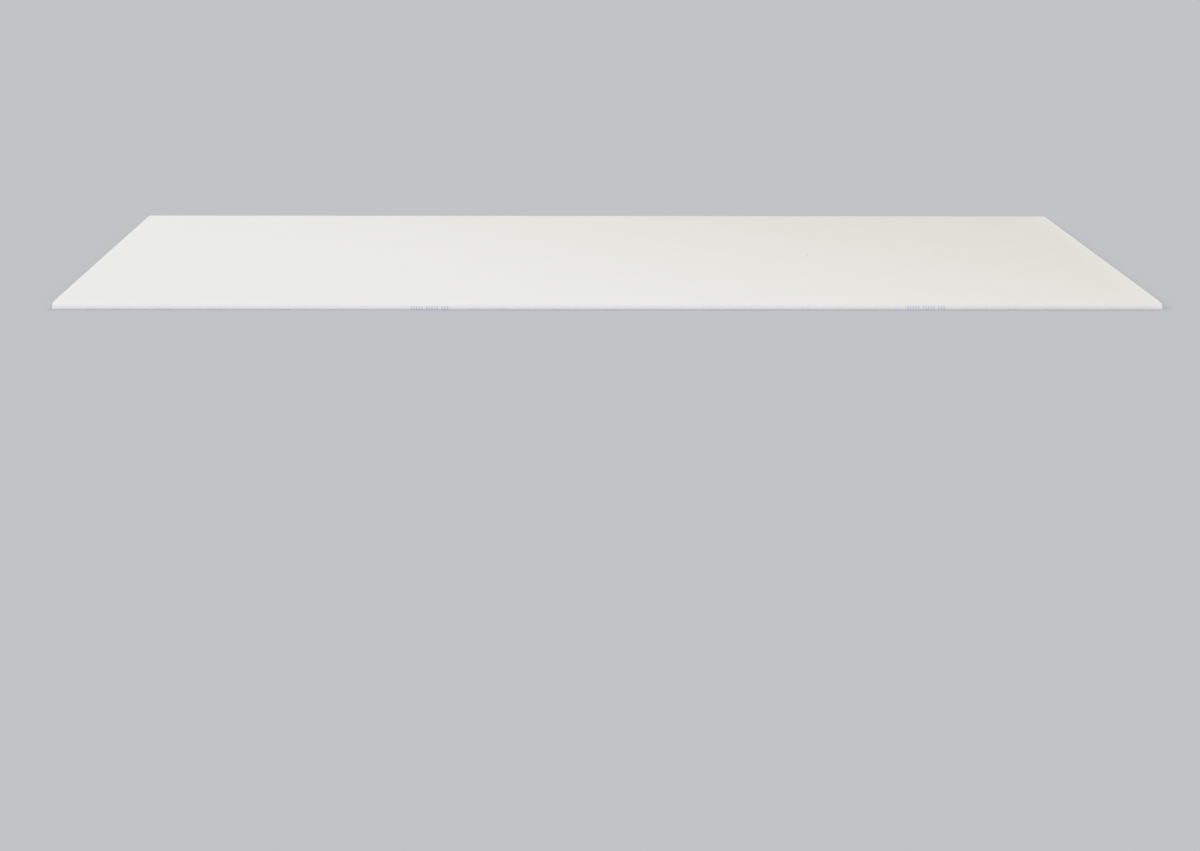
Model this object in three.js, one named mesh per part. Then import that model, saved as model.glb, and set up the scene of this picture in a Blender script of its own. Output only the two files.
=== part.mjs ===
// A full-size sheet of plain drywall (gypsum plasterboard).
//
// The sheet is one piece of stock: a gypsum core cast between two papers, cut off square.
// It is modelled as one solid, the constant cross-section that leaves the board line,
// extruded over the length of the sheet.
//
// Units are millimetres. The sheet lies flat on its back with its room face up:
//   +X runs along the sheet, between the two cut ends
//   +Y runs across it, between the two factory-made long edges
//   +Z is the way the room face looks
// The origin is the middle of the back face.

import * as THREE from 'three';

// ---- driving dimensions -------------------------------------------------------------

const SHEET_LENGTH = 2000;         // cut end to cut end
const SHEET_WIDTH = 1250;          // over the two rounded long edges
const SHEET_THICKNESS = 12.5;      // over both papers, in the flat field of the sheet

const TAPER_WIDTH = 50;            // how far in from a long edge the face starts to fall away
const TAPER_DEPTH = 1.3;           // how much thinner the sheet is where the edge rounds over
const BACK_CORNER_RADIUS = 2.2;    // small round where a long edge turns onto the flat back

const ARC_STEPS = 9;               // fineness of the round stretches: 2 x 9 chords each

// ---- worked out from them -----------------------------------------------------------

const halfWidth = SHEET_WIDTH / 2;

// The half-round nose takes all the thickness that the taper and the back corner leave,
// so the two rounds meet, upright, at the foremost line of the edge.
const noseRadius = SHEET_THICKNESS - TAPER_DEPTH - BACK_CORNER_RADIUS;
const foremostHeight = BACK_CORNER_RADIUS;

// The taper is the straight line from its start on the face that just touches the nose.
const taperRun = TAPER_WIDTH - noseRadius;
const taperDrop = SHEET_THICKNESS - foremostHeight;
const reachToNoseCentre = Math.hypot(taperRun, taperDrop);
const taperAngle = Math.atan2(taperDrop, taperRun) - Math.asin(noseRadius / reachToNoseCentre);

// ---- the cross-section --------------------------------------------------------------

// Drawn counter-clockwise, with the width along x and the thickness along y, from the
// foremost line of one long edge, over the face, down the other edge and along the back.
function sheetSection() {
  const quarterTurn = Math.PI / 2;
  const halfTurn = Math.PI;
  const noseCentre = halfWidth - noseRadius;
  const cornerCentre = halfWidth - BACK_CORNER_RADIUS;
  const taperStart = halfWidth - TAPER_WIDTH;
  const noseEnd = quarterTurn - taperAngle;

  const section = new THREE.Shape();
  section.moveTo(halfWidth, foremostHeight);
  section.absarc(noseCentre, foremostHeight, noseRadius, 0, noseEnd, false);
  section.lineTo(taperStart, SHEET_THICKNESS);
  section.lineTo(-taperStart, SHEET_THICKNESS);
  section.absarc(-noseCentre, foremostHeight, noseRadius, halfTurn - noseEnd, halfTurn, false);
  section.absarc(-cornerCentre, foremostHeight, BACK_CORNER_RADIUS, halfTurn, 3 * quarterTurn, false);
  section.lineTo(cornerCentre, 0);
  section.absarc(cornerCentre, foremostHeight, BACK_CORNER_RADIUS, -quarterTurn, 0, false);
  return section;
}

// ---- the sheet ----------------------------------------------------------------------

// The section is extruded along its own z, then turned so that this runs along +X.
function sheetGeometry() {
  const geometry = new THREE.ExtrudeGeometry(sheetSection(), {
    depth: SHEET_LENGTH,
    steps: 1,
    curveSegments: ARC_STEPS,
    bevelEnabled: false,
  });
  geometry.translate(0, 0, -SHEET_LENGTH / 2);
  geometry.rotateX(Math.PI / 2);
  geometry.rotateZ(Math.PI / 2);
  return geometry;
}

// Smooth off-white face paper, quite matt.
const facePaper = new THREE.MeshStandardMaterial({
  color: 0xebebe8,
  roughness: 0.85,
  metalness: 0,
});

const sheet = new THREE.Mesh(sheetGeometry(), facePaper);
sheet.name = 'drywall_sheet';

const part = new THREE.Group();
part.add(sheet);

export default part;
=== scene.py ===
# %% [markdown]
# # A sheet of drywall, dressed for the camera
#
# A drywall sheet is a slab of foamed gypsum, cast between two papers and cut off square.
# Four things make it look like itself: the smooth ivory face paper, the long edges where
# that paper wraps round a rounded nose, the greyer liner paper on the back, and the chalky
# core that shows only where the sheet was cut.
#
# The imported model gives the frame: where the sheet lies and how large it is. This script
# adds the finish around it, in metres, and moves nothing. The frame comes first, and the
# box it fills is kept, so that the dressed sheet can be measured against it at the end.

# %% Load the frame
import math

import bmesh
import bpy
import numpy as np
from mathutils import Euler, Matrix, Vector, noise


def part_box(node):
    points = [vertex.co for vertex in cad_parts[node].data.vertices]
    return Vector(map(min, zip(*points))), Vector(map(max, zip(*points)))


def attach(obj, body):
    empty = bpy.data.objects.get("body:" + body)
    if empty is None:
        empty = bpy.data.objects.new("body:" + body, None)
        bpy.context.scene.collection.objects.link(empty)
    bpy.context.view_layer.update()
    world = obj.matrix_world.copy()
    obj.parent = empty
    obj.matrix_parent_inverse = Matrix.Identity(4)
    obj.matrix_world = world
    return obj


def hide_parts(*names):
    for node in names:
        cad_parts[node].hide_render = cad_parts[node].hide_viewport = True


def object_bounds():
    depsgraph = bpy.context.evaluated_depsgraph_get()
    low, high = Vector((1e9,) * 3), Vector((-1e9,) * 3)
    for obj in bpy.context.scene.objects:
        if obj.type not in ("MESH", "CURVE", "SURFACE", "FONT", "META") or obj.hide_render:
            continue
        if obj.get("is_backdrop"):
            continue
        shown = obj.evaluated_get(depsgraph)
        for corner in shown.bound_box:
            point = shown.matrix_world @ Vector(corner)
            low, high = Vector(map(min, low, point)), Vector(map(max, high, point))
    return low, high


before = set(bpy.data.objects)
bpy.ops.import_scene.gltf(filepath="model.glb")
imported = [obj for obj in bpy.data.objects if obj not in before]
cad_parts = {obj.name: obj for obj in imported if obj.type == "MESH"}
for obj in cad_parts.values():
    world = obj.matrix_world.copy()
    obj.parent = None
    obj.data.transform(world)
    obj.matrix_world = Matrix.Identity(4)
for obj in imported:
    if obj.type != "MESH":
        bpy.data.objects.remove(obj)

CAD_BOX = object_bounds()

# %% [markdown]
# ## The size of the sheet, and the shape of its long edges
#
# Length, width and thickness are read from the frame, so a change there is followed here.
# The edge has sizes of its own. The face falls away over the last 50 mm, which leaves
# room for joint tape and filler. Then the paper turns over a large half-round nose,
# stands upright for a moment and tucks under a small corner onto the flat back.

# %% Name the sheet's sizes
NODE = "drywall_sheet"
low_corner, high_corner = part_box(NODE)
LENGTH, WIDTH, THICKNESS = high_corner - low_corner
HALF_LENGTH = LENGTH / 2
HALF_WIDTH = WIDTH / 2
MM = 1000  # millimetres in a metre, for the printed measures

TAPER_WIDTH = 0.050
TAPER_DEPTH = 0.0013
BACK_CORNER = 0.0022
NOSE = THICKNESS - TAPER_DEPTH - BACK_CORNER
print(f"sheet {LENGTH:.3f} x {WIDTH:.3f} x {THICKNESS:.4f} m, nose radius {NOSE * MM:.1f} mm")

# %% [markdown]
# ## Two papers that overlap on the back
#
# On the board line the face paper is folded up round each edge and a little way over the
# back. The liner paper is then glued on top of that fold. So each long edge of the back
# has a strip of face paper, one paper's thickness lower than the liner.
#
# The step could be painted on, but an edge this sharp catches the light, so it is
# modelled. The liner lies on the plane of the back, and the strip is sunk above it.

# %% Name the papers' sizes
PAPER = 0.00035
LAP_WIDTH = 0.022
LAP_STEP_RUN = 0.0002
TUCK = BACK_CORNER - PAPER
print(f"paper {PAPER * MM:.2f} mm thick, folded {LAP_WIDTH * MM:.0f} mm over the back")

# %% [markdown]
# ## The cross-section as two curves
#
# The section is described by how far in from the foremost line of an edge a point lies.
# At each such distance there is one point on the face side and one on the back side, and
# the two curves meet at the foremost line. Working in pairs has a use later: the cut end
# of the board is filled by joining each pair through its thickness.
#
# Each point also gets the direction that looks straight out of the board there, so that
# the paper's thickness can be measured inwards from it. The taper is the straight line
# from its start that just touches the nose, which fixes where the nose ends.

# %% Functions for the two curves
taper_run = TAPER_WIDTH - NOSE
taper_drop = THICKNESS - BACK_CORNER
taper_angle = math.atan2(taper_drop, taper_run) - math.asin(NOSE / math.hypot(taper_run, taper_drop))
nose_turn = math.pi / 2 - taper_angle
nose_reach = NOSE * (1 - math.cos(nose_turn))


def face_curve(inset):
    """Height of the face side, and the way it looks, at a distance in from an edge."""
    if inset <= nose_reach:
        turn = math.acos(1 - inset / NOSE)
        return BACK_CORNER + NOSE * math.sin(turn), math.cos(turn), math.sin(turn)
    if inset < TAPER_WIDTH:
        fall = (TAPER_WIDTH - inset) * math.tan(taper_angle)
        return THICKNESS - fall, math.sin(taper_angle), math.cos(taper_angle)
    return THICKNESS, 0.0, 1.0


def back_curve(inset):
    """Height of the back side, and the way it looks, at a distance in from an edge."""
    if inset < TUCK:
        turn = math.acos(1 - inset / TUCK)
        return BACK_CORNER - TUCK * math.sin(turn), math.cos(turn), -math.sin(turn)
    if inset < LAP_WIDTH:
        return PAPER, 0.0, -1.0
    return 0.0, 0.0, -1.0


frame_points = [v.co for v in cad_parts[NODE].data.vertices if v.co.z > BACK_CORNER]
misses = [abs(p.z - face_curve(HALF_WIDTH - abs(p.y))[0]) for p in frame_points]
print(f"the face curve passes within {max(misses) * MM:.4f} mm of the frame's own points")

# %% [markdown]
# ## Stations across the sheet
#
# The mesh needs points close together where the section bends, and few where it is flat.
# On the nose they are spaced by equal turns, so its facets all meet at the same small
# angle. The cut ends need far more points, because torn paper and crumbled gypsum are
# fine things, so the last row has stations of its own, and every coarse station is one
# of them.

# %% Choose the stations
NOSE_STEPS = 14
TAPER_STEP = 0.006
FIELD_STEP = 0.025
CUT_STEP = 0.00125
ROUNDING = 1e-6


def spread(start, stop, step):
    """Even stations from start up to, but not including, stop, at most a step apart."""
    count = math.ceil((stop - start) / step - ROUNDING)
    return [start + (stop - start) * k / count for k in range(count)]


nose_insets = [NOSE * (1 - math.cos(nose_turn * k / NOSE_STEPS)) for k in range(NOSE_STEPS)]
lap_start = LAP_WIDTH - LAP_STEP_RUN
breaks = [nose_reach, lap_start, LAP_WIDTH, TAPER_WIDTH, HALF_WIDTH]
steps = [TAPER_STEP, TAPER_STEP, TAPER_STEP, FIELD_STEP]
coarse = list(nose_insets)
for start, stop, step in zip(breaks, breaks[1:], steps):
    coarse += spread(start, stop, step)
coarse.append(HALF_WIDTH)

fine = []
fine_of_coarse = []
for here, following in zip(coarse, coarse[1:]):
    fine_of_coarse.append(len(fine))
    fine += [here] if here < nose_reach else spread(here, following, CUT_STEP)
fine_of_coarse.append(len(fine))
fine.append(HALF_WIDTH)
print(len(coarse), "stations from an edge to the middle, and", len(fine), "at the cut ends")

# %% [markdown]
# ## One loop round the section
#
# A loop starts at the foremost line of one long edge, crosses the face, and comes home
# along the back. All the rows of the mesh are copies of this loop, so the faces between
# two rows are found by counting. The loop also remembers, for each point, how far in from
# its edge it is and which way is out.

# %% Turn stations into a loop
def make_loop(insets):
    """Points round the section as rows of y, z, outward y, outward z, side and inset."""
    across = [(-1.0, inset) for inset in insets] + [(1.0, inset) for inset in insets[-2::-1]]
    rows = []
    for curve, order in ((face_curve, across), (back_curve, across[-2:0:-1])):
        for side, inset in order:
            z, out_y, out_z = curve(inset)
            rows.append((side * (HALF_WIDTH - inset), z, side * out_y, out_z, side, inset))
    return np.array(rows)


coarse_loop = make_loop(coarse)
fine_loop = make_loop(fine)
last_fine = 2 * len(fine) - 2
across_fine = fine_of_coarse + [last_fine - k for k in fine_of_coarse[-2::-1]]
matching = across_fine + [2 * last_fine - k for k in across_fine[-2:0:-1]]
print(len(coarse_loop), "points in a coarse loop,", len(fine_loop), "in a fine one")

# %% [markdown]
# ## How far a real sheet strays from true
#
# A sheet straight off the pallet is flat to a few tenths of a millimetre, and its edges
# are nearly straight. Without that, its edges look like ruled lines. Slow waves, made
# of a few crossing sines, do this better than noise, because paper under tension has no
# sudden bumps. Every wave only takes material away, so the sheet stays in its box.

# %% Slow waves for the face and the edges
FACE_WAVE = 0.00012
EDGE_WAVE = 0.00030
END_WAVE = 0.00035
FACE_WAVELENGTHS = (1.3, 0.45)
EDGE_WAVELENGTHS = (0.9, 0.22)
END_WAVELENGTHS = (0.7, 0.16)
CROSSING_SINES = 7
SEED = 49
FULL_TURN = 2 * math.pi
dice = np.random.default_rng(SEED)


def slow_wave(longest, shortest):
    """A smooth function of x and y from 0 to 1, made of crossing sine waves."""
    lengths = dice.uniform(shortest, longest, CROSSING_SINES)
    headings = dice.uniform(0, FULL_TURN, CROSSING_SINES)
    phases = dice.uniform(0, FULL_TURN, CROSSING_SINES)

    def height(x, y):
        total = 0.0
        for length, heading, phase in zip(lengths, headings, phases):
            along = x * math.cos(heading) + y * math.sin(heading)
            total = total + np.sin(along * FULL_TURN / length + phase)
        return 0.5 + 0.5 * total / CROSSING_SINES

    return height


face_wave = slow_wave(*FACE_WAVELENGTHS)
edge_wave = slow_wave(*EDGE_WAVELENGTHS)
end_wave = slow_wave(*END_WAVELENGTHS)
print(f"face strays {FACE_WAVE * MM:.2f} mm, edges {EDGE_WAVE * MM:.2f} mm, at the most")


# %% Place a loop along the sheet
def place_loop(loop, x):
    """The loop's points at x along the sheet, with the slow waves worked in."""
    y, z, out_y, out_z, side, inset = loop.T
    near_edge = np.clip(1 - inset / TAPER_WIDTH, 0, 1)
    shift = EDGE_WAVE * edge_wave(x, side) * near_edge * np.sqrt(near_edge)
    dent = FACE_WAVE * face_wave(x, y) * (1 - near_edge) * (out_z > 0)
    return np.column_stack((np.full_like(y, x), y - side * shift, z - dent))


middle_row = place_loop(coarse_loop, 0.0)
print(f"half-way along, the sheet is {np.ptp(middle_row[:, 1]) * MM:.2f} mm wide")

# %% [markdown]
# ## The long body of the sheet
#
# Rows of the coarse loop run from one end to the other, and stop a few millimetres short
# of the cut, where the finer mesh takes over. Each band between two rows is made of
# four-sided faces. A face knows its finish from where it lies: face paper all round,
# except on the back inside the laps, where it is liner.

# %% Build the body rows
FACE_PAPER, LINER_PAPER, PAPER_CUT, CORE = range(4)
ROW_STEP = 0.025
CUT_STRIP = 0.004

points = []
faces = []
finishes = []


def add_points(rows):
    """Adds points to the mesh and returns the number of the first one."""
    first = len(points)
    points.extend(map(tuple, rows))
    return first


def band_finish(loop, k):
    """The finish of the band between point k of a loop and the next."""
    following = loop[(k + 1) % len(loop)]
    on_back = loop[k][3] < 0 and following[3] < 0
    return LINER_PAPER if on_back and max(loop[k][5], following[5]) >= LAP_WIDTH else FACE_PAPER


coarse_count = len(coarse_loop)
row_places = spread(-HALF_LENGTH + CUT_STRIP, HALF_LENGTH - CUT_STRIP, ROW_STEP)
row_places.append(HALF_LENGTH - CUT_STRIP)
row_starts = [add_points(place_loop(coarse_loop, x)) for x in row_places]
for here, following in zip(row_starts, row_starts[1:]):
    for k in range(coarse_count):
        n = (k + 1) % coarse_count
        faces.append((here + k, following + k, following + n, here + n))
        finishes.append(band_finish(coarse_loop, k))
print(len(row_places), "rows,", len(faces), "faces in the body")

# %% [markdown]
# ## The cut ends
#
# When the board has dried, a saw trims it to length. Seen end on, each paper is a thin
# grey line, a little ragged, and the gypsum between them sits slightly back, with grit,
# chips and drag marks from the blade.
#
# A bump map could fake this, but the cut shows in outline from the side, so it is
# modelled: a fine ring for the edge of the paper, and a lattice of points through the
# thickness for the gypsum. Noise pushes the points inwards only.

# %% Sizes of the cut
CORE_ROWS = 10
PAPER_RAG = 0.00022
RAG_LENGTH = 0.0035
CORE_SINK = 0.00025
GRIT_DEPTH = 0.00030
GRIT_SIZE = 0.0021
CHIP_DEPTH = 0.0011
CHIP_SIZE = 0.0085
CHIP_LEVEL = 0.62
DRAG_WIDTH = 0.0016
DRAG_HEIGHT = 0.0140
DRAG_DEPTH = 0.00018
GRIT_LAYER, CHIP_LAYER, DRAG_LAYER, RAG_LAYER = 1, 2, 3, 4


def bumpy(layer, y, z, size):
    """Smooth noise from 0 to 1, with bumps about as wide as size, another in each layer."""
    return 0.5 + 0.5 * noise.noise(Vector((layer, y, z)) / size)


def core_depth(end, y, z):
    """How far the gypsum lies behind the plane of the cut."""
    grit = GRIT_DEPTH * bumpy(end * GRIT_LAYER, y, z, GRIT_SIZE)
    above_level = max(0.0, bumpy(end * CHIP_LAYER, y, z, CHIP_SIZE) - CHIP_LEVEL)
    chip = CHIP_DEPTH * above_level / (1 - CHIP_LEVEL)
    squeezed = y * DRAG_HEIGHT / DRAG_WIDTH
    drag = DRAG_DEPTH * bumpy(end * DRAG_LAYER, squeezed, z, DRAG_HEIGHT)
    return CORE_SINK + grit + chip + drag


print(f"the core sinks up to {(CORE_SINK + GRIT_DEPTH + CHIP_DEPTH + DRAG_DEPTH) * MM:.2f} mm")


# %% The rim of a cut end
def cut_plane(end, y):
    """Where the cut lies along the sheet: nearly square, with the blade's slow wander."""
    return end * (HALF_LENGTH - END_WAVE * end_wave(end * HALF_LENGTH, y))


def add_fan(near, far, rim, finish):
    """Joins a coarse edge of two points to the finer rim that runs beside it."""
    middle = len(rim) // 2
    for tip, stretch in ((near, rim[: middle + 1]), (far, rim[middle:])):
        for here, following in zip(stretch, stretch[1:]):
            faces.append((tip, here, following))
            finishes.append(finish)
    faces.append((near, rim[middle], far))
    finishes.append(finish)


def add_rim(end, body_row):
    """Adds the cut edge of the papers, and returns its inner ring and that ring's start."""
    outer = place_loop(fine_loop, end * HALF_LENGTH)
    inner = outer.copy()
    inner[:, 1:] -= PAPER * fine_loop[:, 2:4]
    for ring in (outer, inner):
        for point in ring:
            rag = PAPER_RAG * bumpy(end * RAG_LAYER, point[1], point[2], RAG_LENGTH)
            point[0] = cut_plane(end, point[1]) - end * rag
    outer_start = add_points(outer)
    inner_start = add_points(inner)

    count = len(fine_loop)
    for k in range(coarse_count):
        last = matching[k + 1] if k + 1 < coarse_count else count
        rim = [outer_start + m % count for m in range(matching[k], last + 1)]
        add_fan(body_row + k, body_row + (k + 1) % coarse_count, rim, band_finish(coarse_loop, k))
    for k in range(count):
        n = (k + 1) % count
        faces.append((outer_start + k, inner_start + k, inner_start + n, outer_start + n))
        finishes.append(PAPER_CUT)
    return inner, inner_start


print("the cut wanders", END_WAVE * MM, "mm, and the paper's edge", PAPER_RAG * MM, "mm more")


# %% The gypsum of a cut end
def add_core(end, inner, inner_start):
    """Fills the inside of the paper ring with a lattice of gypsum."""
    columns = []
    for k in range(last_fine + 1):
        below = (2 * last_fine - k) % len(inner)
        column = [inner_start + k]
        if 0 < k < last_fine:
            top, bottom = inner[k], inner[below]
            rows = []
            for r in range(1, CORE_ROWS):
                _, y, z = top + (bottom - top) * r / CORE_ROWS
                rows.append((cut_plane(end, y) - end * core_depth(end, y, z), y, z))
            first = add_points(rows)
            column += list(range(first, first + CORE_ROWS - 1)) + [inner_start + below]
        columns.append(column)
    # The first and last columns are single points, so a face beside them has a corner twice.
    for left, right in zip(columns, columns[1:]):
        for r in range(CORE_ROWS):
            corners = [left[min(r, len(left) - 1)], right[min(r, len(right) - 1)]]
            corners += [right[min(r + 1, len(right) - 1)], left[min(r + 1, len(left) - 1)]]
            faces.append(tuple(dict.fromkeys(corners)))
            finishes.append(CORE)


for end, body_row in ((-1, row_starts[0]), (1, row_starts[-1])):
    add_core(end, *add_rim(end, body_row))
print(len(points), "points and", len(faces), "faces in all")

# %% [markdown]
# ## From lists to a mesh
#
# The lists become one closed mesh. Blender then turns every face outwards, and marks as
# sharp only the edges that bend by more than a real fold would, such as the rim of the
# cut and the step of the liner. The rounded nose stays smooth.

# %% Make the mesh
SHARP_BEND = math.radians(34)


def make_sheet_mesh():
    """One closed, outward-facing mesh of the whole sheet."""
    mesh = bpy.data.meshes.new("papered_sheet")
    mesh.from_pydata(points, [], faces)
    mesh.polygons.foreach_set("material_index", finishes)
    work = bmesh.new()
    work.from_mesh(mesh)
    bmesh.ops.recalc_face_normals(work, faces=work.faces)
    open_edges = sum(not e.is_manifold for e in work.edges)
    print("open edges:", open_edges, " volume:", round(work.calc_volume(signed=True), 5), "m3")
    work.to_mesh(mesh)
    work.free()
    mesh.polygons.foreach_set("use_smooth", [True] * len(mesh.polygons))
    mesh.set_sharp_from_angle(angle=SHARP_BEND)
    return mesh


sheet = bpy.data.objects.new("papered_sheet", make_sheet_mesh())
bpy.context.scene.collection.objects.link(sheet)
sheet.data.calc_loop_triangles()
print(len(sheet.data.loop_triangles), "triangles")

# %% [markdown]
# ## Small helpers for shader nodes
#
# Materials are node trees. A few helpers keep the cells short: they add a node, fill its
# inputs with plain values or with other nodes' outputs, and hand back its result.
#
# Colours are written as a screen's colour picker gives them, from 0 to 255. A renderer
# works with amounts of light instead, so they are taken through the sRGB curve, which is a
# straight line near black and a power above it.

# %% Colours
FULL = 255
CURVE_START = 0.04045
DARK_SLOPE = 12.92
CURVE_SHIFT = 0.055
CURVE_POWER = 2.4
MID_GREY = 128


def light_of(value):
    """The share of white's light in one channel of a colour."""
    share = value / FULL
    if share < CURVE_START:
        return share / DARK_SLOPE
    return ((share + CURVE_SHIFT) / (1 + CURVE_SHIFT)) ** CURVE_POWER


def colour(red, green, blue):
    """A linear colour, solid, from values of 0 to 255."""
    return (light_of(red), light_of(green), light_of(blue), 1.0)


print("half-way up the scale, a surface gives", round(light_of(MID_GREY), 3), "of white's light")

# %% Node helpers
NODE_GAP = 190


def add_node(tree, kind, inputs=None, **settings):
    """Adds a node. Settings are its own options, and inputs are values or sockets."""
    made = tree.nodes.new(kind)
    made.location.x = NODE_GAP * len(tree.nodes)
    for name, value in settings.items():
        setattr(made, name, value)
    for name, value in (inputs or {}).items():
        if isinstance(value, bpy.types.NodeSocket):
            tree.links.new(value, made.inputs[name])
        else:
            made.inputs[name].default_value = value
    return made


def calculate(tree, operation, *values, clamp=False):
    """The result of a Math node."""
    made = add_node(tree, "ShaderNodeMath", dict(enumerate(values)), operation=operation, use_clamp=clamp)
    return made.outputs[0]


def calculate_vector(tree, operation, first, second=(0.0, 0.0, 0.0)):
    """The result of a Vector Math node."""
    other = "Scale" if operation == "SCALE" else 1
    made = add_node(tree, "ShaderNodeVectorMath", {0: first, other: second}, operation=operation)
    return made.outputs[0]


def coordinates(tree, vector):
    """The three numbers in a vector."""
    return add_node(tree, "ShaderNodeSeparateXYZ", {0: vector}).outputs


def remap(tree, value, old, new, smooth=False):
    """A value taken from one range to another, and held inside it."""
    ends = {"Value": value, "From Min": old[0], "From Max": old[1], "To Min": new[0], "To Max": new[1]}
    kind = "SMOOTHSTEP" if smooth else "LINEAR"
    return add_node(tree, "ShaderNodeMapRange", ends, interpolation_type=kind).outputs["Result"]


def blend_colours(tree, share, first, second):
    """The mix of two colours."""
    made = add_node(tree, "ShaderNodeMix", data_type="RGBA")
    for socket, value in (("Factor_Float", share), ("A_Color", first), ("B_Color", second)):
        target = next(s for s in made.inputs if s.identifier == socket)
        if isinstance(value, bpy.types.NodeSocket):
            tree.links.new(value, target)
        else:
            target.default_value = value
    return next(s for s in made.outputs if s.identifier == "Result_Color")


print("helpers ready, with", len(bpy.data.materials), "materials and no groups yet")


# %% Node group helpers
def new_group(name, inputs, outputs):
    """An empty shader node group with named sockets, and its input node's sockets."""
    tree = bpy.data.node_groups.new(name, "ShaderNodeTree")
    for label, kind in inputs:
        tree.interface.new_socket(label, in_out="INPUT", socket_type="NodeSocket" + kind)
    for label, kind in outputs:
        tree.interface.new_socket(label, in_out="OUTPUT", socket_type="NodeSocket" + kind)
    return tree, tree.nodes.new("NodeGroupInput").outputs


def finish_group(tree, results):
    """Sends the results to the group's outputs."""
    end = add_node(tree, "NodeGroupOutput", results)
    print("group", tree.name, "gives", [s.name for s in end.inputs if s.name])


def use_group(tree, group, inputs):
    """Places a node group in a tree, fills its inputs and returns its outputs."""
    return add_node(tree, "ShaderNodeGroup", inputs, node_tree=group).outputs


print("node groups so far:", len(bpy.data.node_groups))

# %% [markdown]
# ## Effects that the papers and the core share
#
# Paper is felted fibre, and close to it two things show. The fibres lie mostly along the
# sheet, the way the paper ran through its machine. And its tone is cloudy, because pulp
# never spreads quite evenly. Both the face and the liner have them, the liner more, so
# each is a node group with its sizes as inputs, built once and placed twice.
#
# All patterns are worked out from the place on the object, in metres. So they wrap round
# the edges with the paper, and need no unwrapping. Nearly all values of a noise texture
# lie in a narrow band round a half, and that band is spread out where contrast is wanted.
# A paper's clouds are written as a list of sizes, each with its amount.

# %% Group: felted fibre
FIBRE_DETAIL = 3.0
FIBRE_CURL = 0.8


def make_fibre_group():
    """Noise drawn out along the sheet, from 0 to 1."""
    inputs = [("Position", "Vector"), ("Fibre Length", "Float"), ("Fibre Width", "Float")]
    tree, given = new_group("felted fibre", inputs, [("Fibre", "Float")])
    width = given["Fibre Width"]
    size = add_node(tree, "ShaderNodeCombineXYZ", {"X": given["Fibre Length"], "Y": width, "Z": width})
    scaled = calculate_vector(tree, "DIVIDE", given["Position"], size.outputs[0])
    look = {"Vector": scaled, "Scale": 1.0, "Detail": FIBRE_DETAIL, "Distortion": FIBRE_CURL}
    finish_group(tree, {"Fibre": add_node(tree, "ShaderNodeTexNoise", look).outputs["Fac"]})
    return tree


fibre_group = make_fibre_group()


# %% Group: cloudy tone
NOISE_BAND = (0.3, 0.7)
CLOUD_DETAIL = 2.0


def make_cloud_group():
    """A colour made a little lighter and darker in soft clouds."""
    inputs = [("Position", "Vector"), ("Color", "Color"), ("Cloud Size", "Float"), ("Amount", "Float")]
    tree, given = new_group("cloudy tone", inputs, [("Color", "Color")])
    scale = calculate(tree, "DIVIDE", 1.0, given["Cloud Size"])
    look = {"Vector": given["Position"], "Scale": scale, "Detail": CLOUD_DETAIL}
    clouds = add_node(tree, "ShaderNodeTexNoise", look).outputs["Fac"]
    spread_out = remap(tree, clouds, NOISE_BAND, (-1.0, 1.0))
    tone = calculate(tree, "MULTIPLY_ADD", spread_out, given["Amount"], 1.0)
    finish_group(tree, {"Color": calculate_vector(tree, "SCALE", given["Color"], tone)})
    return tree


def add_clouds(tree, position, tone, clouds):
    """Lays clouds of several sizes over a colour."""
    for size, amount in clouds:
        cloud = {"Position": position, "Color": tone, "Cloud Size": size, "Amount": amount}
        tone = use_group(tree, cloud_group, cloud)["Color"]
    return tone


cloud_group = make_cloud_group()

# %% [markdown]
# ## Flecks and pores
#
# Board paper is made from waste paper, so it holds scattered flecks of ink and brown
# fibre: hardly any in the face, plenty in the liner. The gypsum is full of pores. Both
# are small blots of all sizes, thrown at random over the surface, so one group makes both.
#
# A Voronoi texture gives each cell of space its own point and its own random colour. A
# blot is a small ball round that point. One random value decides whether the cell gets
# one, and another how large it is. Noise pushes its outline about, because round blots
# look like a printed pattern.
#
# A finish often has several kinds of blots, such as dark and pale flecks. Each kind is
# written as one row: its colour, spacing and largest size, and the share of cells with one.

# %% Group: blots
SMALLEST_BLOT = 0.3
BLOT_CORE = 0.5
HALF_GREY = (0.5, 0.5, 0.5)


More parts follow.
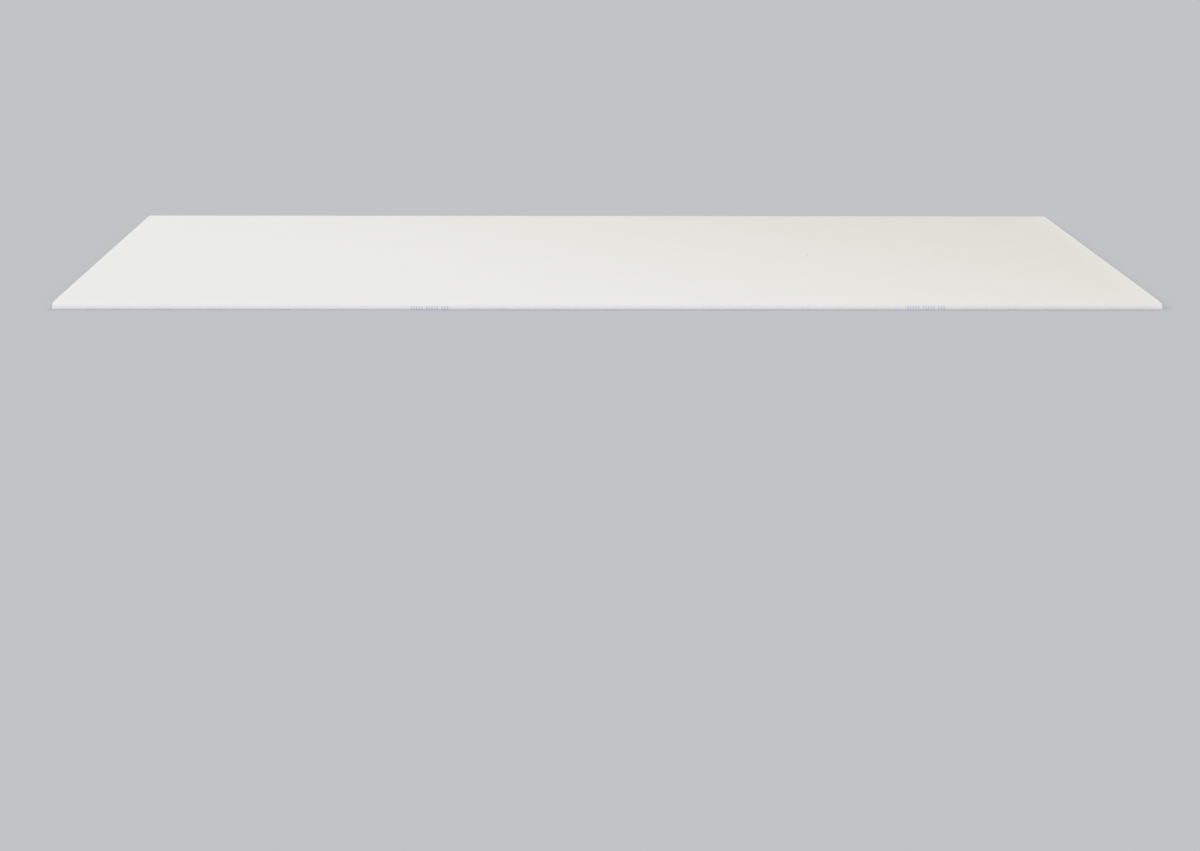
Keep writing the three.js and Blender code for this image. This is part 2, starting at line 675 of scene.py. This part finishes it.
def make_blot_group():
    """A colour with small ragged blots of another scattered over it, and their mask."""
    inputs = [("Position", "Vector"), ("Color", "Color"), ("Blot Color", "Color"), ("Spacing", "Float")]
    inputs += [("Blot Size", "Float"), ("Share", "Float"), ("Raggedness", "Float")]
    tree, given = new_group("blots", inputs, [("Color", "Color"), ("Mask", "Float")])

    fineness = calculate(tree, "DIVIDE", 1.0, given["Blot Size"])
    look = {"Vector": given["Position"], "Scale": fineness, "Detail": 1.0}
    push = add_node(tree, "ShaderNodeTexNoise", look).outputs["Color"]
    amount = calculate(tree, "MULTIPLY", given["Blot Size"], given["Raggedness"])
    pushed = calculate_vector(tree, "SCALE", calculate_vector(tree, "SUBTRACT", push, HALF_GREY), amount)
    place = calculate_vector(tree, "ADD", given["Position"], pushed)

    scale = calculate(tree, "DIVIDE", 1.0, given["Spacing"])
    cells = add_node(tree, "ShaderNodeTexVoronoi", {"Vector": place, "Scale": scale}).outputs
    draw = add_node(tree, "ShaderNodeSeparateColor", {"Color": cells["Color"]}).outputs
    chosen = calculate(tree, "LESS_THAN", draw["Red"], given["Share"])
    largest = calculate(tree, "DIVIDE", given["Blot Size"], given["Spacing"])
    size_share = remap(tree, draw["Green"], (0.0, 1.0), (SMALLEST_BLOT, 1.0))
    reach = calculate(tree, "MULTIPLY", largest, size_share)
    solid = calculate(tree, "MULTIPLY", reach, BLOT_CORE)
    near = remap(tree, cells["Distance"], (solid, reach), (1.0, 0.0), smooth=True)
    mask = calculate(tree, "MULTIPLY", near, chosen)
    tone = blend_colours(tree, mask, given["Color"], given["Blot Color"])
    finish_group(tree, {"Color": tone, "Mask": mask})
    return tree


blot_group = make_blot_group()


# %% Several kinds of blots
def add_blots(tree, position, tone, blots, raggedness):
    """Lays several kinds of blots over a colour, and returns it with their masks."""
    masks = []
    for blot_colour, spacing, size, share in blots:
        blot = {"Position": position, "Color": tone, "Blot Color": blot_colour, "Spacing": spacing}
        blot.update({"Blot Size": size, "Share": share, "Raggedness": raggedness})
        made = use_group(tree, blot_group, blot)
        tone = made["Color"]
        masks.append(made["Mask"])
    return tone, masks


print("blots are between", SMALLEST_BLOT, "and 1 of their largest size")

# %% [markdown]
# ## Gypsum dust from the saw
#
# Cutting the sheet to length leaves a breath of white dust on the last few centimetres of
# both papers, patchy and stronger towards the cut. Both papers take it from one group,
# each with a reach and an amount of its own.

# %% Group: cutting dust
DUST_COLOUR = colour(240, 239, 236)
DUST_PATCH = 0.006
DUST_DETAIL = 4.0
DUST_BAND = (0.35, 0.65)
THINNEST_DUST = 0.15
DUST_FADE = 1.6


def make_dust_group():
    """Patches of dust that thicken towards the two cut ends."""
    inputs = [("Position", "Vector"), ("Color", "Color"), ("Reach", "Float"), ("Amount", "Float")]
    tree, given = new_group("cutting dust", inputs, [("Color", "Color")])
    along = coordinates(tree, given["Position"])["X"]
    from_cut = calculate(tree, "SUBTRACT", HALF_LENGTH, calculate(tree, "ABSOLUTE", along))
    share_of_reach = calculate(tree, "DIVIDE", from_cut, given["Reach"])
    nearness = calculate(tree, "SUBTRACT", 1.0, share_of_reach, clamp=True)
    look = {"Vector": given["Position"], "Scale": 1 / DUST_PATCH, "Detail": DUST_DETAIL}
    puffs = add_node(tree, "ShaderNodeTexNoise", look).outputs["Fac"]
    patchy = remap(tree, puffs, DUST_BAND, (THINNEST_DUST, 1.0), smooth=True)
    thick = calculate(tree, "MULTIPLY", calculate(tree, "POWER", nearness, DUST_FADE), patchy)
    mask = calculate(tree, "MULTIPLY", thick, given["Amount"], clamp=True)
    finish_group(tree, {"Color": blend_colours(tree, mask, given["Color"], DUST_COLOUR)})
    return tree


def add_dust(tree, position, tone, reach, amount):
    """Dusts a colour near the cut ends."""
    dust = {"Position": position, "Color": tone, "Reach": reach, "Amount": amount}
    return use_group(tree, dust_group, dust)["Color"]


dust_group = make_dust_group()

# %% [markdown]
# ## What is printed on the face paper
#
# Three pale grey dots near the middle of the width, about a screw's spacing apart, lie on
# the half towards the corner with painted shade. Low on the front edge there are two small
# pale blue marks, here plain rows of ticks, put on by an ink jet in tiny drops as the board
# ran past.
#
# The ink of a row fills a box in space, so it shows wherever the paper passes through that
# box. A repeating stripe cuts it into ticks, and a fine lattice of discs into drops. A mark
# is written as its place along the sheet and its height, and each of its rows as an offset
# from that place and a number of ticks.

# %% Distances for printed patterns
def from_nearest(tree, value, pitch):
    """How far a value is from the nearest whole number of pitches."""
    half = calculate(tree, "MULTIPLY", pitch, 0.5)
    wrapped = calculate(tree, "WRAP", value, half, calculate(tree, "MULTIPLY", half, -1.0))
    return calculate(tree, "ABSOLUTE", wrapped)


def distance_of(tree, first, second):
    """The length of the slope over two legs at a right angle."""
    first_square = calculate(tree, "MULTIPLY", first, first)
    return calculate(tree, "SQRT", calculate(tree, "MULTIPLY_ADD", second, second, first_square))


print("node groups so far:", [g.name for g in bpy.data.node_groups])

# %% Group: printed ticks
DROP_CORE = 0.25
DROP_REACH = 0.55


def make_ticks_group():
    """A mask of upright ticks that fill a box, made of drops of ink, from 0 to 1."""
    inputs = [("Position", "Vector"), ("Centre", "Vector"), ("Half Size", "Vector")]
    inputs += [("Tick Pitch", "Float"), ("Tick Width", "Float"), ("Drop Pitch", "Float")]
    tree, given = new_group("printed ticks", inputs, [("Mask", "Float")])

    offset = calculate_vector(tree, "SUBTRACT", given["Position"], given["Centre"])
    share = calculate_vector(tree, "DIVIDE", offset, given["Half Size"])
    x, y, z = coordinates(tree, calculate_vector(tree, "ABSOLUTE", share))
    farthest = calculate(tree, "MAXIMUM", calculate(tree, "MAXIMUM", x, y), z)
    box = calculate(tree, "LESS_THAN", farthest, 1.0)

    along, _, up = coordinates(tree, offset)
    half_width = calculate(tree, "MULTIPLY", given["Tick Width"], 0.5)
    from_tick = from_nearest(tree, along, given["Tick Pitch"])
    stripe = calculate(tree, "LESS_THAN", from_tick, half_width)

    aside = from_nearest(tree, along, given["Drop Pitch"])
    above = from_nearest(tree, up, given["Drop Pitch"])
    full = calculate(tree, "MULTIPLY", given["Drop Pitch"], DROP_CORE)
    faint = calculate(tree, "MULTIPLY", given["Drop Pitch"], DROP_REACH)
    drops = remap(tree, distance_of(tree, aside, above), (full, faint), (1.0, 0.0), smooth=True)
    inked = calculate(tree, "MULTIPLY", calculate(tree, "MULTIPLY", box, stripe), drops)
    finish_group(tree, {"Mask": inked})
    return tree


ticks_group = make_ticks_group()

# %% The marks on the front edge
MARKS = ((-0.323, 0.0032), (0.572, 0.0050))
TICK_ROWS = ((-0.0229, 5), (0.0048, 5), (0.0277, 3))
DROP_PITCH = 0.0006
TICK_WIDTH = 5 * DROP_PITCH
TICK_PITCH = 8 * DROP_PITCH
TICK_HEIGHT = 11 * DROP_PITCH
MARK_REACH = 0.003


def print_marks(tree, position):
    """The ink mask of both marks on the front edge."""
    mask = 0.0
    for place, height in MARKS:
        for offset, count in TICK_ROWS:
            row = {"Position": position, "Centre": (place + offset, -HALF_WIDTH, height)}
            row["Half Size"] = (count * TICK_PITCH / 2, MARK_REACH, TICK_HEIGHT / 2)
            row.update({"Tick Pitch": TICK_PITCH, "Tick Width": TICK_WIDTH, "Drop Pitch": DROP_PITCH})
            mask = calculate(tree, "MAXIMUM", mask, use_group(tree, ticks_group, row)["Mask"])
    return mask


print(len(MARKS), "marks of", sum(count for _, count in TICK_ROWS), "ticks each")

# %% The dots on the face
DOT_PITCH = 0.260
FIRST_DOT = 0.412
DOT_LINE = -0.016
DOT_RADIUS = 0.0027
DOT_CORE = 0.6


def print_dots(tree, position):
    """The ink mask of the dots near the middle of the face, from the first one on."""
    x, y, _ = coordinates(tree, position)
    along = from_nearest(tree, calculate(tree, "SUBTRACT", x, FIRST_DOT), DOT_PITCH)
    across = calculate(tree, "SUBTRACT", y, DOT_LINE)
    full_to_none = (DOT_RADIUS * DOT_CORE, DOT_RADIUS)
    dots = remap(tree, distance_of(tree, along, across), full_to_none, (1.0, 0.0), smooth=True)
    started = calculate(tree, "GREATER_THAN", x, FIRST_DOT - DOT_PITCH / 2)
    return calculate(tree, "MULTIPLY", dots, started)


print("dots every", DOT_PITCH * MM, "mm from", FIRST_DOT * MM, "mm on")

# %% [markdown]
# ## Face paper
#
# The face is the side that gets painted: ivory, smooth and matt, with a faint cloudiness
# and very few flecks. Painted shade darkens and warms it towards one far corner, where the
# light falls off. Round the long edges the nose has painted light and shade instead: a
# cooler, slightly darker tone, white at one end of the sheet and a faint lilac grey, painted
# shade, at the other.

# %% Helpers for finishes
PAPER_ROUGHNESS = (0.74, 0.88)


def start_material(name, roughness):
    """A material with one Principled shader, its node tree and the object's own place."""
    material = bpy.data.materials.new(name)
    material.use_nodes = True
    tree = material.node_tree
    shader = tree.nodes["Principled BSDF"]
    shader.inputs["Roughness"].default_value = roughness
    return material, tree, shader, add_node(tree, "ShaderNodeTexCoord").outputs["Object"]


def add_bump(tree, shader, height, depth):
    """Relief for a shader, from a height of 0 to 1 and what 1 stands for."""
    bump = add_node(tree, "ShaderNodeBump", {"Height": height, "Distance": depth, "Strength": 1.0})
    tree.links.new(bump.outputs["Normal"], shader.inputs["Normal"])


def add_paper_relief(tree, shader, position, fibre_size, depth):
    """Roughness and relief from the paper's fibres."""
    length, width = fibre_size
    fibres = {"Position": position, "Fibre Length": length, "Fibre Width": width}
    fibre = use_group(tree, fibre_group, fibres)["Fibre"]
    tree.links.new(remap(tree, fibre, NOISE_BAND, PAPER_ROUGHNESS), shader.inputs["Roughness"])
    add_bump(tree, shader, fibre, depth)


print("papers have a roughness of", PAPER_ROUGHNESS)

# %% Tone of the face paper
FACE_COLOUR = colour(237.5, 237, 232.9)
# Painted shade: the face's colour where the light has fallen off, darker and warmer
CORNER_SHADE_COLOUR = colour(224.4, 222.6, 212.4)
CORNER_SHADE_FROM = -0.75
CORNER_SHADE_TO = 1.50
CORNER_SHADE_ACROSS = 0.65
# Painted light and shade on the nose: cooler and a little darker than the face, turning to a darker lilac
# grey, painted shade, towards the +x end
EDGE_PAINTED_LIGHT_COLOUR = colour(229, 228.4, 229)
EDGE_PAINTED_SHADE_COLOUR = colour(221.6, 218.8, 226.1)
EDGE_SHADE_FROM = -0.35
PAINTED_EDGE_WIDTH = 0.012
PAINTED_EDGE_SHARE = 0.6


def face_tone_with_painted_light(tree, position):
    """The ivory of the face, with painted shade towards one corner and painted light round the edges."""
    x, y, _ = coordinates(tree, position)
    # Painted shade, darker and warmer towards one far corner, where the light falls off
    towards_corner = calculate(tree, "MULTIPLY_ADD", y, CORNER_SHADE_ACROSS, x)
    corner_shade = remap(tree, towards_corner, (CORNER_SHADE_FROM, CORNER_SHADE_TO), (0.0, 1.0), smooth=True)
    tone = blend_colours(tree, corner_shade, FACE_COLOUR, CORNER_SHADE_COLOUR)
    # Painted light on the nose round the long edges, with painted shade growing towards the +x end
    edge_shade_share = remap(tree, x, (EDGE_SHADE_FROM, HALF_LENGTH), (0.0, 1.0))
    painted_edge_light = blend_colours(tree, edge_shade_share, EDGE_PAINTED_LIGHT_COLOUR, EDGE_PAINTED_SHADE_COLOUR)
    from_middle = calculate(tree, "ABSOLUTE", y)
    edge = (HALF_WIDTH - PAINTED_EDGE_WIDTH, HALF_WIDTH)
    near_edge = remap(tree, from_middle, edge, (0.0, PAINTED_EDGE_SHARE), smooth=True)
    return blend_colours(tree, near_edge, tone, painted_edge_light)


# The stretch over which the painted shade of the far corner comes in
print("the yellowing runs from", CORNER_SHADE_FROM, "to", CORNER_SHADE_TO, "m along, and more so to the back")

# %% Material: face paper
FACE_CLOUDS = ((0.16, 0.006), (0.014, 0.008), (0.0018, 0.010))
FACE_FLECKS = ((colour(198, 190, 178), 0.010, 0.00050, 0.25),)
FLECK_RAGGEDNESS = 1.5
INK = colour(146, 164, 210)
INK_STRENGTH = 0.68
DOT_INK = colour(150, 148, 146)
DOT_STRENGTH = 0.60
FACE_DUST_REACH = 0.06
FACE_DUST = 0.5
FACE_FIBRE = (0.0032, 0.00042)
FACE_RELIEF = 0.000016


def make_face_paper():
    """Smooth ivory paper with printed marks."""
    material, tree, shader, position = start_material("face paper", PAPER_ROUGHNESS[0])
    tone = add_clouds(tree, position, face_tone_with_painted_light(tree, position), FACE_CLOUDS)
    tone, _ = add_blots(tree, position, tone, FACE_FLECKS, FLECK_RAGGEDNESS)
    dots = calculate(tree, "MULTIPLY", print_dots(tree, position), DOT_STRENGTH)
    tone = blend_colours(tree, dots, tone, DOT_INK)
    marks = calculate(tree, "MULTIPLY", print_marks(tree, position), INK_STRENGTH)
    tone = blend_colours(tree, marks, tone, INK)
    tone = add_dust(tree, position, tone, FACE_DUST_REACH, FACE_DUST)
    tree.links.new(tone, shader.inputs["Base Color"])
    add_paper_relief(tree, shader, position, FACE_FIBRE, FACE_RELIEF)
    return material


face_paper = make_face_paper()
print(face_paper.name, "has", len(face_paper.node_tree.nodes), "nodes")

# %% [markdown]
# ## Liner paper
#
# Nobody sees the back of a fixed sheet, so the liner is plain recycled board paper:
# greyer, coarser, cloudier and full of flecks. It uses the same groups as the face, with
# stronger values.

# %% Material: liner paper
LINER_COLOUR = colour(203, 198, 188)
LINER_CLOUDS = ((0.22, 0.015), (0.018, 0.022), (0.0022, 0.030))
LINER_FLECKS = (
    (colour(136, 122, 105), 0.0042, 0.00065, 0.40),
    (colour(228, 225, 217), 0.0055, 0.00090, 0.45),
)
LINER_DUST_REACH = 0.05
LINER_DUST = 0.55
LINER_FIBRE = (0.0045, 0.0006)
LINER_RELIEF = 0.00003


def make_liner_paper():
    """Grey recycled paper with dark and pale flecks."""
    material, tree, shader, position = start_material("liner paper", PAPER_ROUGHNESS[1])
    tone = add_clouds(tree, position, LINER_COLOUR, LINER_CLOUDS)
    tone, _ = add_blots(tree, position, tone, LINER_FLECKS, FLECK_RAGGEDNESS)
    tone = add_dust(tree, position, tone, LINER_DUST_REACH, LINER_DUST)
    tree.links.new(tone, shader.inputs["Base Color"])
    add_paper_relief(tree, shader, position, LINER_FIBRE, LINER_RELIEF)
    return material


liner_paper = make_liner_paper()
print(liner_paper.name, "has", len(liner_paper.node_tree.nodes), "nodes")

# %% [markdown]
# ## The cut: paper plies and gypsum
#
# At the cut the paper shows its grey inner plies. The core is plaster that was foamed
# before it set, so it is full of bubbles of about a millimetre and less, except in the
# dense skin just under each paper. The large roughness is in the mesh already, and the
# bubbles are left to bump and to a darker colour, which is painted shade inside them.

# %% Material: cut paper
CHALK_ROUGHNESS = 0.95
PLY_COLOUR = colour(186, 179, 168)
PLY_CLOUDS = ((0.0015, 0.08),)
PLY_FIBRE = (0.0012, 0.0003)
PLY_RELIEF = 0.00006


def make_cut_paper():
    """The grey plies at the edge of the paper."""
    material, tree, shader, position = start_material("cut paper", CHALK_ROUGHNESS)
    tone = add_clouds(tree, position, PLY_COLOUR, PLY_CLOUDS)
    tree.links.new(tone, shader.inputs["Base Color"])
    add_paper_relief(tree, shader, position, PLY_FIBRE, PLY_RELIEF)
    return material


cut_paper = make_cut_paper()
print(cut_paper.name, "has", len(cut_paper.node_tree.nodes), "nodes")

# %% Material: gypsum core
CORE_COLOUR = colour(231, 228, 221)
CORE_CLOUDS = ((0.03, 0.012), (0.003, 0.025), (0.0006, 0.02))
# Painted shade: the dark inside of the bubbles
PORE_SHADE_COLOUR = colour(197, 192, 182)
PORES = (
    (PORE_SHADE_COLOUR, 0.00085, 0.00026, 0.75),
    (PORE_SHADE_COLOUR, 0.0017, 0.00048, 0.55),
    (PORE_SHADE_COLOUR, 0.0046, 0.00095, 0.30),
)
PORE_RAGGEDNESS = 2.2
PORE_DEPTH = 0.00028
GRAIN_SIZE = 0.0005
GRAIN_DETAIL = 3.0
GRAIN_SHARE = 0.6
SKIN = 0.0013


def make_gypsum_core():
    """Chalky plaster with pores darkened by painted shade, and dense skins under the papers."""
    material, tree, shader, position = start_material("gypsum core", CHALK_ROUGHNESS)
    plain = add_clouds(tree, position, CORE_COLOUR, CORE_CLOUDS)
    # The pores take painted shade; their masks also sink them in the bump
    tone, masks = add_blots(tree, position, plain, PORES, PORE_RAGGEDNESS)
    holes = 0.0
    for mask in masks:
        holes = calculate(tree, "MAXIMUM", holes, mask)

    above_middle = calculate(tree, "SUBTRACT", coordinates(tree, position)["Z"], THICKNESS / 2)
    from_middle = calculate(tree, "ABSOLUTE", above_middle)
    skin_start = THICKNESS / 2 - SKIN
    foamed = remap(tree, from_middle, (skin_start, skin_start + SKIN / 2), (1.0, 0.0), smooth=True)
    tree.links.new(blend_colours(tree, foamed, plain, tone), shader.inputs["Base Color"])

    look = {"Vector": position, "Scale": 1 / GRAIN_SIZE, "Detail": GRAIN_DETAIL}
    grain = add_node(tree, "ShaderNodeTexNoise", look).outputs["Fac"]
    raised = calculate(tree, "MULTIPLY", grain, GRAIN_SHARE)
    open_pores = calculate(tree, "MULTIPLY", holes, foamed)
    add_bump(tree, shader, calculate(tree, "SUBTRACT", raised, open_pores), PORE_DEPTH)
    return material


gypsum_core = make_gypsum_core()
for finish in (face_paper, liner_paper, cut_paper, gypsum_core):
    sheet.data.materials.append(finish)
print("finishes:", [m.name for m in sheet.data.materials])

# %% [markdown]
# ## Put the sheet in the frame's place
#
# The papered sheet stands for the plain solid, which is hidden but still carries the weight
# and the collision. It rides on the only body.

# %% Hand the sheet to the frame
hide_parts(NODE)
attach(sheet, "root")
print(sheet.name, "rides on root and stands for", NODE)

# %% [markdown]
# ## A plain floor
#
# The sheet is nearly white, so it needs a floor that is pale but clearly darker, or its
# outline is lost. One wide matt plane of a cool light grey does it. It lies a hair under
# the sheet, so the two never share a surface.
#
# The back of the sheet has a finish of its own, worth looking at, so seen from below the
# floor is clear. It still has a top side, which would keep all light from the back of the
# sheet that lies on it. So it is clear as well to any ray that has come less than a
# millimetre or so, as only rays from the underside of the sheet have.

# %% Floor
FLOOR_REACH = 90.0
FLOOR_DROP = 0.0001
FLOOR_COLOUR = colour(192, 194, 197)
SHORT_WAY = 0.0012


def make_floor():
    """A wide plane just under the sheet, clear from below and to rays from very near."""
    mesh = bpy.data.meshes.new("floor")
    signs = ((-1, -1), (1, -1), (1, 1), (-1, 1))
    corners = [(x * FLOOR_REACH, y * FLOOR_REACH, -FLOOR_DROP) for x, y in signs]
    mesh.from_pydata(corners, [], [(0, 1, 2, 3)])
    floor = bpy.data.objects.new("floor", mesh)
    bpy.context.scene.collection.objects.link(floor)
    material = bpy.data.materials.new("floor")
    material.use_nodes = True
    tree = material.node_tree
    tree.nodes.clear()
    matt = add_node(tree, "ShaderNodeBsdfDiffuse", {"Color": FLOOR_COLOUR})
    clear = add_node(tree, "ShaderNodeBsdfTransparent")
    below = add_node(tree, "ShaderNodeNewGeometry").outputs["Backfacing"]
    travelled = add_node(tree, "ShaderNodeLightPath").outputs["Ray Length"]
    near = calculate(tree, "LESS_THAN", travelled, SHORT_WAY)
    unseen = calculate(tree, "MAXIMUM", below, near)
    both = add_node(tree, "ShaderNodeMixShader", {0: unseen, 1: matt.outputs[0], 2: clear.outputs[0]})
    add_node(tree, "ShaderNodeOutputMaterial", {"Surface": both.outputs[0]})
    mesh.materials.append(material)
    return floor


floor = make_floor()
floor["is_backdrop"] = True
print("floor reaches", FLOOR_REACH, "m each way")

# %% [markdown]
# ## Soft studio light
#
# The nose of the sheet is only a little darker where it stands upright than where it
# looks up. That is the mark of a light that comes from nearly everywhere. So an even sky
# gives nine tenths of it, at the level where a colour renders as it is written.
#
# A sky alone would leave no direction at all. One low sun far off to the front left adds
# the last tenth, and lifts the upright front edge. It is a sun twenty degrees wide, so its
# shadows are as soft as a window's, yet it lights the whole floor evenly, where a lamp
# would leave a pool. Behind everything, and in anything that shines, the sky is seen in
# the floor's colour.

# %% Sky and sun
SKY_STRENGTH = 0.93
SKY_COLOUR = (1.0, 1.0, 1.0, 1.0)
SUN_FROM = (-4.5, -4.0, 2.8)
SUN_WIDTH = math.radians(20.0)
SUN_STRENGTH = 0.63
SUN_COLOUR = (0.95, 0.93, 1.0)


def make_sky():
    """An even sky, which the camera and reflections see in the colour of the floor."""
    world = bpy.data.worlds.new("sky")
    bpy.context.scene.world = world
    world.use_nodes = True
    tree = world.node_tree
    tree.nodes.clear()
    rays = add_node(tree, "ShaderNodeLightPath").outputs
    seen = rays["Is Camera Ray"]
    for kind in ("Is Glossy Ray", "Is Transmission Ray"):
        seen = calculate(tree, "MAXIMUM", seen, rays[kind])
    light = add_node(tree, "ShaderNodeBackground", {"Color": SKY_COLOUR, "Strength": SKY_STRENGTH})
    shown = add_node(tree, "ShaderNodeBackground", {"Color": FLOOR_COLOUR, "Strength": 1.0})
    both = add_node(tree, "ShaderNodeMixShader", {0: seen, 1: light.outputs[0], 2: shown.outputs[0]})
    add_node(tree, "ShaderNodeOutputWorld", {"Surface": both.outputs[0]})


def add_sun():
    """A wide, low sun that shines from the front left."""
    lamp = bpy.data.lights.new("low sun", "SUN")
    lamp.color = SUN_COLOUR
    lamp.energy = SUN_STRENGTH
    lamp.angle = SUN_WIDTH
    holder = bpy.data.objects.new("low sun", lamp)
    holder.location = SUN_FROM
    holder.rotation_euler = (-Vector(SUN_FROM)).to_track_quat("-Z", "Y").to_euler()
    bpy.context.scene.collection.objects.link(holder)
    return holder


make_sky()
sun = add_sun()
print("sky of", SKY_STRENGTH, "and a", sun.name, "of", SUN_STRENGTH)

# %% [markdown]
# ## The camera
#
# The camera stands back more than five metres with a long lens, a little left of the
# middle and not much higher than a table, and looks down at the sheet by some eight
# degrees. So the face is strongly foreshortened and the front edge shows its section.
#
# It is aimed at the floor in front of the sheet, turned a degree to the right, and leans
# a fifth of a degree, as a camera on a tripod does. Aiming needs no shift of the lens, so
# the sheet stays in the middle when it is looked at from elsewhere.

# %% Camera
FRAME_WIDTH = 1200
SENSOR = 36.0
FOCAL_PIXELS = 2777.8
CAMERA_PLACE = (-0.1000, -5.5650, 0.8030)
CAMERA_PITCH = math.radians(11.612)
CAMERA_LEAN = math.radians(-0.183)
CAMERA_TURN = math.radians(-0.942)

camera_data = bpy.data.cameras.new("camera")
camera_data.sensor_width = SENSOR
camera_data.lens = SENSOR * FOCAL_PIXELS / FRAME_WIDTH
camera_data.clip_end = 2 * FLOOR_REACH
camera = bpy.data.objects.new("camera", camera_data)
camera.location = CAMERA_PLACE
camera.rotation_euler = Euler((math.pi / 2 - CAMERA_PITCH, CAMERA_LEAN, CAMERA_TURN))
bpy.context.scene.collection.objects.link(camera)
bpy.context.scene.camera = camera
bpy.context.scene.view_settings.view_transform = "Standard"
print(f"lens {camera_data.lens:.1f} mm")

# %% [markdown]
# ## Compare the dressed sheet with its frame
#
# The last cell writes both boxes down. The dressed sheet has to lie inside the frame's
# box, because all its waves, chips and steps only take material away.

# %% Measure and finish
DRESSED_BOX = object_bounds()
for name, box in (("frame", CAD_BOX), ("dressed", DRESSED_BOX)):
    print(name, [[round(v, 5) for v in corner] for corner in box])
